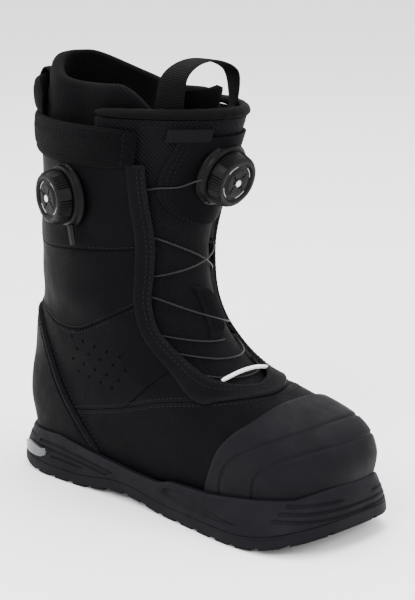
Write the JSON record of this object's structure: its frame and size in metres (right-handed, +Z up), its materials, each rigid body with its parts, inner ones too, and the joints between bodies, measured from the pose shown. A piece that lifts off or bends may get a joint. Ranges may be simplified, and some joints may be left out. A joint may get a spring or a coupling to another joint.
{
  "type": "snowboard boot",
  "caption": "Mid-height snowboard boot for a right foot with a lugged cup sole, padded liner, pull loops and dial-wound cable lacing.",
  "frame": {"origin": "middle of the footprint box, on the ground under the lugs", "axes": "+X towards the toe, +Y towards the inner side of the foot, +Z up; the outer side faces -Y"},
  "size_m": [0.3068, 0.1392, 0.3182],
  "materials": {
    "outsole_rubber": "matt moulded",
    "midsole_rubber": "satin moulded",
    "window": "glossy silver",
    "shell": "matt synthetic leather",
    "overlay": "fine grain moulded",
    "eyestay": "matt synthetic leather",
    "knit": "ribbed knit",
    "tongue_twill": "diagonal twill",
    "webbing": "woven strap",
    "label": "printed patch, left blank",
    "liner_mesh": "textile over foam",
    "board": "pressed board",
    "cable": "coated cord",
    "dial": "satin",
    "dial_face": "satin",
    "pin": "plain",
    "sleeve": "white"
  },
  "bodies": {
    "boot": {"outsole": "outsole_rubber", "midsole": "midsole_rubber", "heel_window_outer": "window", "heel_window_inner": "window", "vamp": "shell", "quarter_outer": "shell", "quarter_inner": "shell", "heel_counter": "overlay", "toe_cap": "overlay", "eyestay_outer": "eyestay", "eyestay_inner": "eyestay", "collar_outer": "knit", "collar_inner": "knit", "achilles_flap": "knit", "heel_loop": "webbing", "tongue": "tongue_twill", "tongue_binding": "shell", "tongue_patch": "shell", "tongue_label": "label", "tongue_loop": "webbing", "liner_boot": "liner_mesh", "liner_tongue": "liner_mesh", "footbed": "liner_mesh", "lasting_board": "board", "upper_cable": "cable", "lower_cable": "cable", "toe_cable_sleeve": "sleeve", "tongue_half_moon": "dial", "side_dial_outlet": "dial", "guide_outer_1": "dial", "guide_inner_1": "dial", "guide_outer_2": "dial", "guide_inner_2": "dial", "guide_outer_3": "dial", "guide_inner_3": "dial", "guide_outer_4": "dial", "guide_inner_4": "dial", "tongue_dial_base": "dial", "side_dial_base": "dial"},
    "tongue_dial_lift": {"tongue_dial_carrier": "dial"},
    "tongue_dial_grip": {"tongue_dial_knob": "dial", "tongue_dial_face": "dial_face", "tongue_dial_pin": "pin"},
    "tongue_dial_reel": {"tongue_dial_spool": "dial"},
    "side_dial_lift": {"side_dial_carrier": "dial"},
    "side_dial_grip": {"side_dial_knob": "dial", "side_dial_face": "dial_face", "side_dial_pin": "pin"},
    "side_dial_reel": {"side_dial_spool": "dial"}
  },
  "joints": [
    {"name": "tongue_dial_pull", "type": "slide", "parent": "boot", "child": "tongue_dial_lift", "axis": [0.9511, 0, -0.309], "range_m": [0, 0.0025]},
    {"name": "tongue_dial_turn", "type": "hinge", "parent": "tongue_dial_lift", "child": "tongue_dial_grip", "pos_m": [0.0332, 0.00573, 0.24048], "axis": [0.9511, 0, -0.309], "continuous": true},
    {"name": "tongue_dial_wind", "type": "hinge", "parent": "boot", "child": "tongue_dial_reel", "pos_m": [0.0332, 0.00573, 0.24048], "axis": [0.9511, 0, -0.309], "continuous": true},
    {"name": "side_dial_pull", "type": "slide", "parent": "boot", "child": "side_dial_lift", "axis": [-0.2413, -0.9679, -0.0698], "range_m": [0, 0.0025]},
    {"name": "side_dial_turn", "type": "hinge", "parent": "side_dial_lift", "child": "side_dial_grip", "pos_m": [-0.06564, -0.05061, 0.22093], "axis": [-0.2413, -0.9679, -0.0698], "continuous": true},
    {"name": "side_dial_wind", "type": "hinge", "parent": "boot", "child": "side_dial_reel", "pos_m": [-0.06564, -0.05061, 0.22093], "axis": [-0.2413, -0.9679, -0.0698], "continuous": true}
  ],
  "couplings": [
    {"joint": "tongue_dial_wind", "follows": "tongue_dial_turn", "ratio": 1},
    {"joint": "side_dial_wind", "follows": "side_dial_turn", "ratio": 1}
  ]
}
